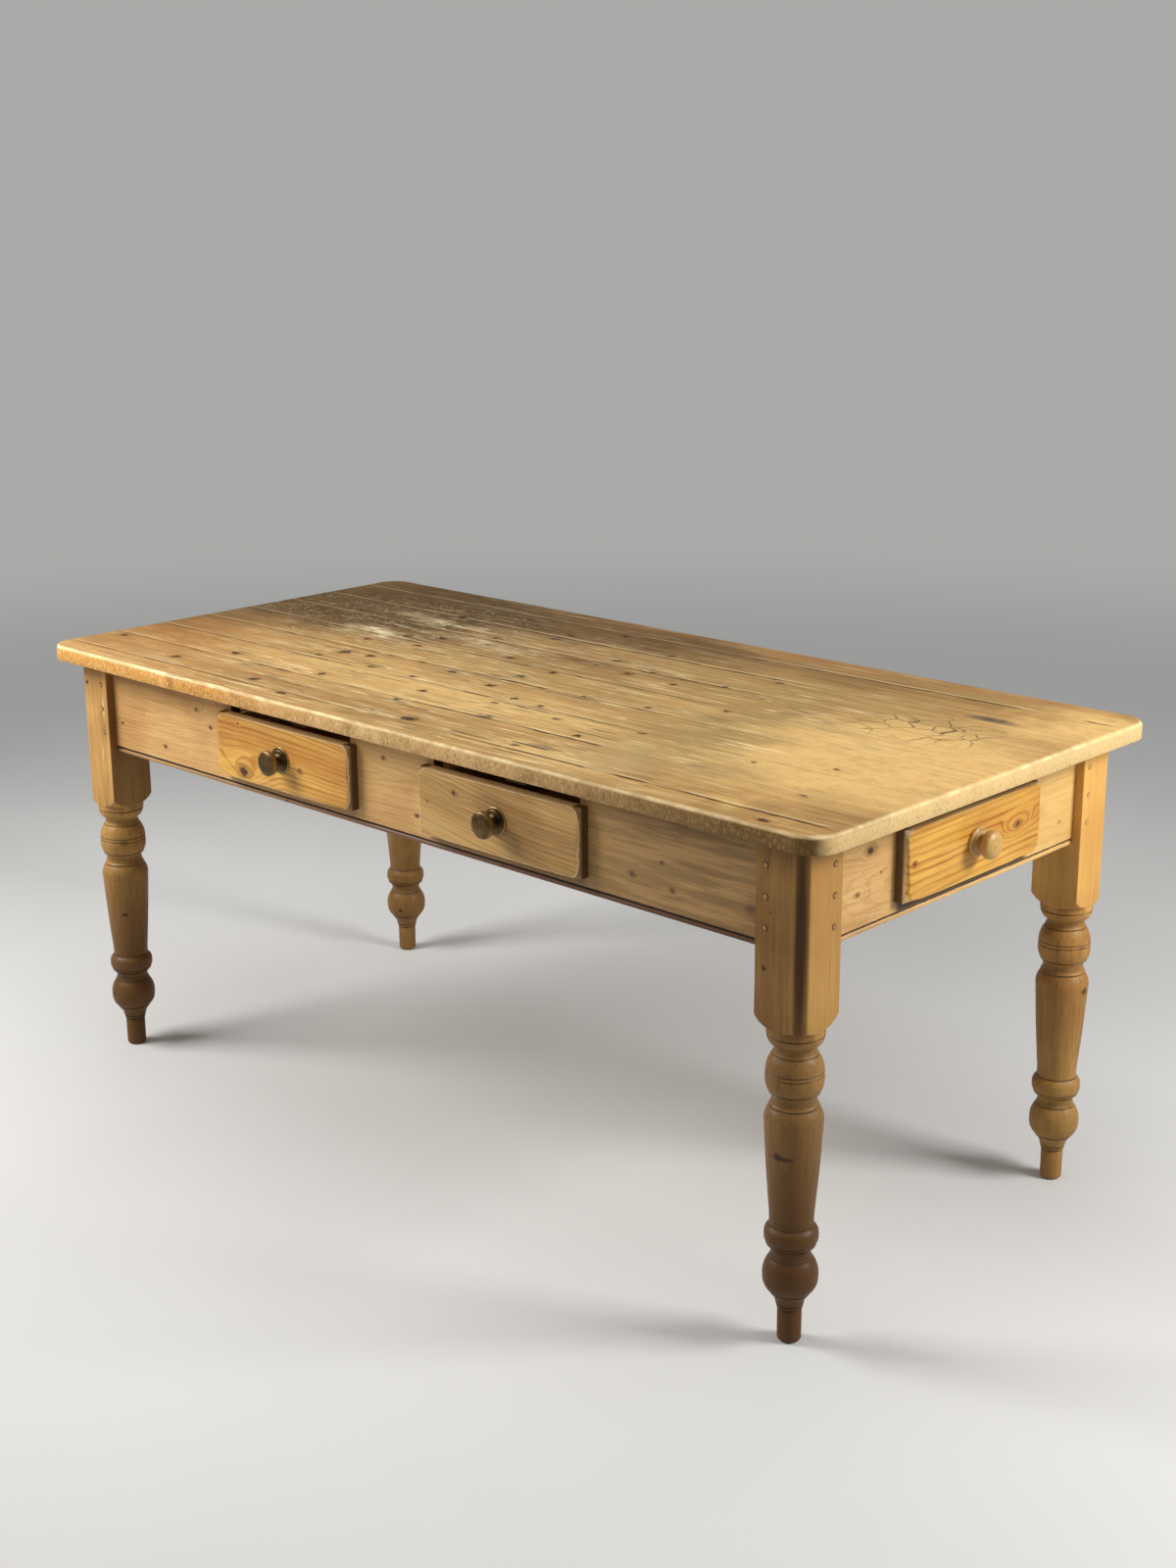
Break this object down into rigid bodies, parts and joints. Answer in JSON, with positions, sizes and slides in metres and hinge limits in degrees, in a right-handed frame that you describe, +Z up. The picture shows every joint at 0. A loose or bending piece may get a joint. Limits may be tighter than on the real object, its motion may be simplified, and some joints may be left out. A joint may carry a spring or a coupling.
{
  "type": "kitchen table",
  "caption": "Farmhouse kitchen table in waxed pine with turned legs, a board top, two lipped front drawers and an end drawer, each with a round knob.",
  "frame": {"origin": "on the floor under the middle of the top", "axes": "+X along the table towards the end with the drawer, +Y from the front drawers to the back, +Z up"},
  "size_m": [1.75, 0.8443, 0.775],
  "materials": {
    "top_pine": "waxed, worn",
    "frame_pine": "waxed",
    "front_pine": "waxed",
    "inner_pine": "bare, sawn",
    "peg_wood": "waxed",
    "turned_knob_wood": "waxed",
    "knob_brass": "antique, dull",
    "screw_steel": "plain"
  },
  "bodies": {
    "frame": {"top_board_1": "top_pine", "top_board_2": "top_pine", "top_board_3": "top_pine", "top_board_4": "top_pine", "top_board_5": "top_pine", "top_board_6": "top_pine", "top_board_7": "top_pine", "top_board_8": "top_pine", "top_board_9": "top_pine", "leg_front_left": "frame_pine", "leg_front_right": "frame_pine", "leg_back_left": "frame_pine", "leg_back_right": "frame_pine", "front_rail": "frame_pine", "back_rail": "frame_pine", "left_end_rail": "frame_pine", "right_end_rail": "frame_pine", "cross_rail": "inner_pine", "joint_pegs": "peg_wood", "top_buttons": "inner_pine", "button_screws": "screw_steel", "left_drawer_left_runner": "inner_pine", "left_drawer_right_runner": "inner_pine", "left_drawer_kicker": "inner_pine", "right_drawer_left_runner": "inner_pine", "right_drawer_right_runner": "inner_pine", "right_drawer_kicker": "inner_pine", "end_drawer_left_runner": "inner_pine", "end_drawer_right_runner": "inner_pine", "end_drawer_kicker": "inner_pine"},
    "left_drawer": {"left_drawer_front": "front_pine", "left_drawer_left_side": "inner_pine", "left_drawer_right_side": "inner_pine", "left_drawer_back": "inner_pine", "left_drawer_bottom": "inner_pine", "left_drawer_knob": "knob_brass", "left_drawer_knob_rose": "knob_brass", "left_drawer_knob_screw": "screw_steel"},
    "right_drawer": {"right_drawer_front": "front_pine", "right_drawer_left_side": "inner_pine", "right_drawer_right_side": "inner_pine", "right_drawer_back": "inner_pine", "right_drawer_bottom": "inner_pine", "right_drawer_knob": "knob_brass", "right_drawer_knob_rose": "knob_brass", "right_drawer_knob_screw": "screw_steel"},
    "end_drawer": {"end_drawer_front": "front_pine", "end_drawer_left_side": "inner_pine", "end_drawer_right_side": "inner_pine", "end_drawer_back": "inner_pine", "end_drawer_bottom": "inner_pine", "end_drawer_knob": "turned_knob_wood"}
  },
  "joints": [
    {"name": "left_drawer_slide", "type": "slide", "parent": "frame", "child": "left_drawer", "axis": [0, -1, 0], "range_m": [0, 0.3]},
    {"name": "right_drawer_slide", "type": "slide", "parent": "frame", "child": "right_drawer", "axis": [0, -1, 0], "range_m": [0, 0.3]},
    {"name": "end_drawer_slide", "type": "slide", "parent": "frame", "child": "end_drawer", "axis": [1, 0, 0], "range_m": [0, 0.25]}
  ]
}
